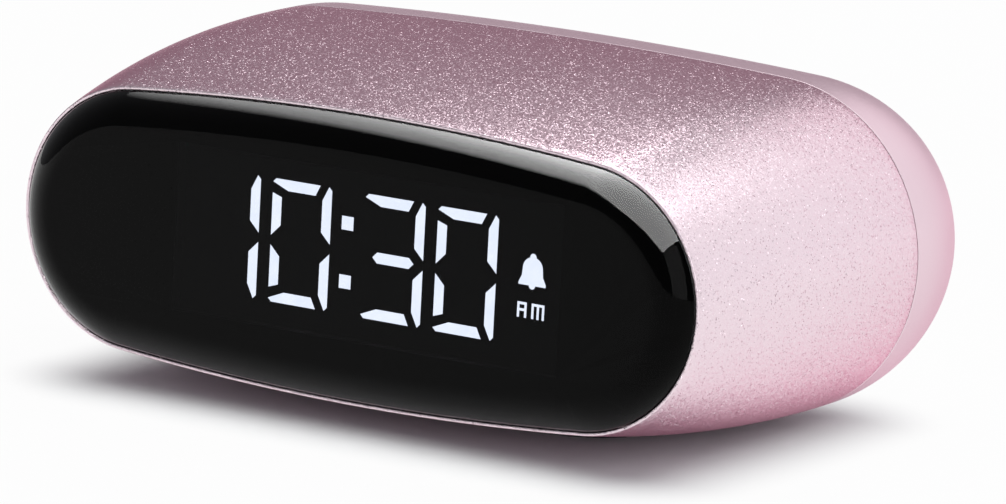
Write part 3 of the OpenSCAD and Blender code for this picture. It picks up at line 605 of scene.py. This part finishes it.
key_bodies = {
    "time_button": "time_key", "alarm_button": "alarm_key", "up_button": "up_key", "down_button": "down_key",
}
inlet_low, inlet_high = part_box("usb_inlet")
inlet_size = inlet_high - inlet_low
key_z = middle("time_button").z
low_z = middle("usb_inlet").z
thumb_x = middle("alarm_slide").x + thumb_travel / 2
sound_x = middle("buzzer").x
key_reach = middle("down_button").x - middle("time_button").x

bm = bmesh.new()
for x, z in screw_places:
    rod(bm, tube_d, x, z, tube_y, inner_back_y + past)
for x, z in post_places:
    rod(bm, post_d, x, z, post_y, inner_back_y + past)
cut(cover, bm, "UNION")

bm = bmesh.new()
key_slot_h = key_d + 2 * key_border
opening(bm, key_reach + key_slot_h, key_slot_h, 0, key_z, recess_y, back_y)
thumb_slot_h = thumb_w + 2 * thumb_border
opening(bm, thumb_slot_h + thumb_travel + thumb_w / 2, thumb_slot_h, thumb_x, low_z, recess_y, back_y)
opening(bm, inlet_size.x + 2 * inlet_border, inlet_size.z + 2 * inlet_border, 0, low_z, recess_y, back_y)
for x, z in screw_places:
    opening(bm, head_d + slack, head_d + slack, x, z, back_y - screw_sink, back_y)
cut(cover, bm)

bm = bmesh.new()
for node in key_bodies:
    opening(bm, key_d + slack, key_d + slack, middle(node).x, key_z, inner_back_y - past, recess_y)
opening(bm, inlet_size.x + slack, inlet_size.z + slack, 0, low_z, inner_back_y - past, recess_y)
slot_half = Vector((thumb_w + thumb_travel + slack, 2 * back_wall, thumb_w + slack)) / 2
slot_middle = Vector((thumb_x, inner_back_y + recess_t, low_z))
block(bm, slot_middle - slot_half, slot_middle + slot_half)
for x, z in screw_places:
    rod(bm, case_thread_d + slack, x, z, tube_y - past, back_y - screw_sink + past)
opening(bm, sound_hole_d, sound_hole_d, sound_x, low_z, inner_back_y - past, back_y)
for step in range(sound_ring):
    around = Matrix.Rotation(math.radians(360 / sound_ring * step), 3, "Y") @ Vector((sound_pitch, 0, 0))
    opening(bm, sound_hole_d, sound_hole_d, sound_x + around.x, low_z + around.z, inner_back_y - past, back_y)
cut(cover, bm, sharp=mouth_crease)
fit(cover, "case", "cover_plastic", "rear_cover")

# Keys: four round caps moulded in pink plastic, dished for a fingertip and marked with a clock,
# a bell and two arrows in sunk ink. A flange behind the cover keeps each one in its hole, and
# the switch behind it springs it back.
flange_t = 1 * MM
key_round = 0.35 * MM
dish_r = 7 * MM
dish_t = 0.25 * MM
dish_steps = 6
dish_turn = math.acos(1 - dish_t / dish_r)
mark_t = 0.12 * MM
ring_r = 2 * MM
stroke_w = 0.45 * MM

# The marks' outlines, in millimetres across and up from the middle of the cap
clock_hands = [(-1, -0.22), (0.22, -0.22), (0.22, 1.2), (-0.22, 1.2), (-0.22, 0.22), (-1, 0.22)]
dome_steps = 12
dome_turns = [math.pi * step / dome_steps for step in range(dome_steps + 1)]
bell_dome = [(math.cos(turn), 0.3 + 1.1 * math.sin(turn)) for turn in dome_turns]
bell_body = [(-1.2, -0.5), (-1.6, -1), (1.6, -1), (1.2, -0.5)] + bell_dome
bell_clapper = [(-0.5, -1.25), (-0.3, -1.6), (0.3, -1.6), (0.5, -1.25)]
arrow_up = [(-1.6, -0.9), (1.6, -0.9), (0, 1.4)]
arrow_down = [(-1.6, 0.9), (1.6, 0.9), (0, -1.4)]
key_marks = {
    "time_button": [clock_hands], "alarm_button": [bell_body, bell_clapper],
    "up_button": [arrow_up], "down_button": [arrow_down],
}
moulded_pink = finish("moulded_pink_abs", "#CE9FB1", "#D8ABBC", 0.2 * MM, 0.42, 0.008 * MM)
grey_ink = finish("pad_printed_grey_ink", "#66545B", "#735F67", 0.15 * MM, 0.55)
for node, body in key_bodies.items():
    low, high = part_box(node)
    x = middle(node).x
    flange_d = high.x - low.x
    flange_y = low.y + flange_t
    mark_y = high.y - dish_t - mark_t
    dish_turns = [dish_turn * step / dish_steps for step in range(dish_steps, 0, -1)]
    dish = [
        (2 * dish_r * math.sin(turn), high.y - dish_t - draft + dish_r * (1 - math.cos(turn)))
        for turn in dish_turns
    ]
    bm = bmesh.new()
    rings = [
        pill_loop(bm, d, d, x, y, key_z)
        for d, y in [
            (flange_d, low.y), (flange_d, flange_y), (key_d, flange_y + draft), (key_d, high.y),
        ] + dish
    ]
    capped(bm, rings)
    rounded(bm, rings[3], key_round)
    cap = add_piece(bm, node.replace("button", "cap"), moulded_pink, grey_ink)

    bm = bmesh.new()
    for outline in key_marks[node]:
        loops = []
        for y in (mark_y, high.y + past):
            verts = [bm.verts.new((x + a * MM, y, key_z + b * MM)) for a, b in outline]
            loops.append([bm.edges.new(pair) for pair in zip(verts, verts[1:] + verts[:1])])
        capped(bm, loops)
    if node == "time_button":
        ring = [
            pill_loop(bm, 2 * r, 2 * r, x, y, key_z)
            for r, y in (
                (ring_r, mark_y), (ring_r, high.y + past),
                (ring_r - stroke_w, high.y + past + draft), (ring_r - stroke_w, mark_y + draft),
            )
        ]
        skin(bm, ring + ring[:1])
    for face in bm.faces:
        face.material_index = 1
    cut(cap, bm)
    fit(cap, body, "button_plastic", node)

# Slide knob: a ridged thumb post on a plate that covers its slot from inside, moulded in one
# piece with the stem that works the switch.
slide_low, slide_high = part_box("alarm_slide")
stem_w = 1.6 * MM
plate_gap = 0.1 * MM
plate_y = inner_back_y - plate_gap
groove_t = 0.3 * MM
rest_x = middle("alarm_slide").x
plate_foot_y = plate_y - flange_t
bm = bmesh.new()
block(bm, (slide_low.x, plate_foot_y, slide_low.z), (slide_high.x, plate_y, slide_high.z))
knob = add_piece(bm, "slide_thumb", moulded_pink)
bm = bmesh.new()
for w, first_y, last_y in (
    (stem_w, slide_low.y, plate_foot_y + flange_t / 2), (thumb_w, plate_foot_y + flange_t / 2, slide_high.y),
):
    block(bm, (rest_x - w / 2, first_y, low_z - w / 2), (rest_x + w / 2, last_y, low_z + w / 2))
cut(knob, bm, "UNION")
bm = bmesh.new()
for step in (-1, 0, 1):
    groove_x = rest_x + step * thumb_w / 4
    block(
        bm,
        (groove_x - groove_t / 2, slide_high.y - groove_t, low_z - thumb_w),
        (groove_x + groove_t / 2, slide_high.y + groove_t, low_z + thumb_w),
    )
cut(knob, bm)
fit(knob, "slide_knob", "button_plastic", "alarm_slide")

# Foot: a silicone pad with a rounded edge, pressed into the pocket under the shell, where
# adhesive holds it.
foot_round = 0.5 * MM
silicone = finish("moulded_grey_silicone", "#37373A", "#424245", 0.25 * MM, 0.7, 0.02 * MM)
bm = bmesh.new()
rims = [pill_loop(bm, foot_w, foot_len, 0, y, -foot_y) for y in (foot_high.z, foot_low.z)]
capped(bm, rims)
rounded(bm, rims[1], foot_round)
bmesh.ops.rotate(bm, verts=bm.verts, matrix=Matrix.Rotation(math.radians(90), 3, "X"))
fit(add_piece(bm, "silicone_foot", silicone), "case", "foot_silicone", "foot_pad")

# Set: a matt table top of pale grey under large soft boxes. Near the clock the table shows that
# grey with the clock's real shadow, a painted shade round it; away from it the table runs into
# a white that the camera, the metal and the lens all see.
shadow_and_painted_shade_half = (33 * MM, 20 * MM, 0)
shadow_and_painted_shade_fade = (1 * MM, 18 * MM)
table_half = 4
floor_paint, tree, surface, place = new_material("matt_table_with_painted_shade")
aside = add(tree, "VectorMath", {0: place}, operation="ABSOLUTE")
beyond = add(tree, "VectorMath", {0: aside.outputs["Vector"], 1: shadow_and_painted_shade_half}, operation="SUBTRACT")
outside = add(tree, "VectorMath", {0: beyond.outputs["Vector"], 1: (0, 0, 0)}, operation="MAXIMUM")
off = add(tree, "VectorMath", {0: outside.outputs["Vector"]}, operation="LENGTH")
# Near the clock the white fades out, so the table's own grey shows there as painted shade round its real
# shadow
fade = add(tree, "MapRange", {
    "Value": off.outputs["Value"], "From Min": shadow_and_painted_shade_fade[0], "From Max": shadow_and_painted_shade_fade[1], "To Max": 0.96,
}, interpolation_type="SMOOTHSTEP")
path = add(tree, "LightPath")
seen = add(tree, "Math", {
    0: path.outputs["Is Camera Ray"], 1: path.outputs["Is Glossy Ray"],
}, operation="MAXIMUM")
shown = add(tree, "Math", {
    0: seen.outputs["Value"], 1: path.outputs["Is Transmission Ray"],
}, operation="MAXIMUM")
first = add(tree, "Math", {0: path.outputs["Diffuse Depth"], 1: 0.5}, operation="LESS_THAN")
direct = add(tree, "Math", {0: shown.outputs["Value"], 1: first.outputs["Value"]}, operation="MULTIPLY")
share = add(tree, "Math", {0: fade.outputs["Result"], 1: direct.outputs["Value"]}, operation="MULTIPLY")
white = add(tree, "Emission", {"Color": linear("#FFFFFF"), "Strength": 1})
blend = add(tree, "MixShader", {
    0: share.outputs["Value"], 1: surface.outputs["BSDF"], 2: white.outputs["Emission"],
})
feed(tree, tree.nodes["Material Output"], {"Surface": blend.outputs["Shader"]})
# Pale grey: near the clock it darkens the real shadow as painted shade
feed(tree, surface, {"Base Color": linear("#DCDCDE"), "Roughness": 0.9})
bm = bmesh.new()
bmesh.ops.create_grid(bm, x_segments=1, y_segments=1, size=table_half)
table = add_piece(bm, "table_top", floor_paint)

world = bpy.data.worlds.new("studio")
world.use_nodes = True
bpy.context.scene.world = world
world.node_tree.nodes["Background"].inputs["Color"].default_value = linear("#B0B0B4")
world.node_tree.nodes["Background"].inputs["Strength"].default_value = 0.62


def add_lamp(name, place, aim, width, height, power):
    """Soft box that faces a point"""
    lamp = bpy.data.lights.new(name, "AREA")
    lamp.shape = "RECTANGLE"
    lamp.size, lamp.size_y, lamp.energy = width, height, power
    holder = bpy.data.objects.new(name, lamp)
    holder.location = place
    holder.rotation_euler = (Vector(aim) - Vector(place)).to_track_quat("-Z", "Y").to_euler()
    bpy.context.collection.objects.link(holder)
    return holder


add_lamp("overhead_box", (0.1, 0, 1.2), (0.1, 0, 0), 1.5, 1.5, 8.7)
add_lamp("right_back_box", (0.7, 0.85, 0.58), (0, 0, 0), 2.4, 1.3, 6.9)
add_lamp("front_right_box", (0.9, -0.7, 0.4), (0, 0, 0), 0.8, 0.8, 3.6)
add_lamp("back_spot_box", (-0.3, 0.5, 0.8), (0, 0, 0), 0.2, 0.2, 0.45)

# The last box lights the lens alone, and its reflection is the band along the lens's top edge.
# It dims towards one corner, and ends along a slant.
dim_stretch, dim_shift = (5.985, 1.8, 0), (-0.285, -1.77, 0)
dim_reach = 1.8
dim_level, full_level = 7, 38
slant_turn = (1, 0.25, 0)
slant_start, slant_end = 0.225, 0.305
lens_box = add_lamp("lens_box", (0.12, -0.7, 0.8), (0.12, -0.7, 0), 1.68, 1.88, 9.92)
lens_box.data.use_nodes = True
tree = lens_box.data.node_tree
across = add(tree, "NewGeometry").outputs["Parametric"]
spread = add(tree, "VectorMath", {
    0: across, 1: dim_stretch, 2: dim_shift,
}, operation="MULTIPLY_ADD")
reach = add(tree, "VectorMath", {
    0: spread.outputs["Vector"], 1: spread.outputs["Vector"],
}, operation="DOT_PRODUCT")
level = add(tree, "MapRange", {
    "Value": reach.outputs["Value"], "From Max": dim_reach, "To Min": dim_level, "To Max": full_level,
})
slant = add(tree, "VectorMath", {0: across, 1: slant_turn}, operation="DOT_PRODUCT")
inside = add(tree, "MapRange", {
    "Value": slant.outputs["Value"], "From Min": slant_start, "From Max": slant_end,
})
strength = add(tree, "Math", {0: level.outputs["Result"], 1: inside.outputs["Result"]}, operation="MULTIPLY")
feed(tree, tree.nodes["Emission"], {"Strength": strength.outputs["Value"]})
lit_by_it = bpy.data.collections.new("lit_by_lens_box")
lit_by_it.objects.link(lens)
lens_box.light_linking.receiver_collection = lit_by_it

# Camera: the photograph's place, aim and long lens, found from the lens's and seam's ovals
lens_half_h = lens_oval.y
yaw, pitch, roll = math.radians(31.58), math.radians(11.11), math.radians(3.05)
distance = 47.52 * lens_half_h
aim = Vector((1.215 * lens_half_h, rim_y, lens_z + 0.226 * lens_half_h))
focal_pixels, frame_pixels = 7000, 1006
away = Vector((math.sin(yaw) * math.cos(pitch), -math.cos(yaw) * math.cos(pitch), math.sin(pitch)))
sideways = Vector((math.cos(yaw), math.sin(yaw), 0))
upright = away.cross(sideways)
right = sideways * math.cos(roll) + upright * math.sin(roll)
top = upright * math.cos(roll) - sideways * math.sin(roll)
lens_data = bpy.data.cameras.new("camera")
lens_data.sensor_width = 36
lens_data.lens = focal_pixels / frame_pixels * lens_data.sensor_width
camera = bpy.data.objects.new("camera", lens_data)
turned = Matrix((right, top, away)).transposed().to_4x4()
camera.matrix_world = Matrix.Translation(aim + away * distance) @ turned
bpy.context.collection.objects.link(camera)
bpy.context.scene.camera = camera
bpy.context.scene.view_settings.view_transform = "Standard"
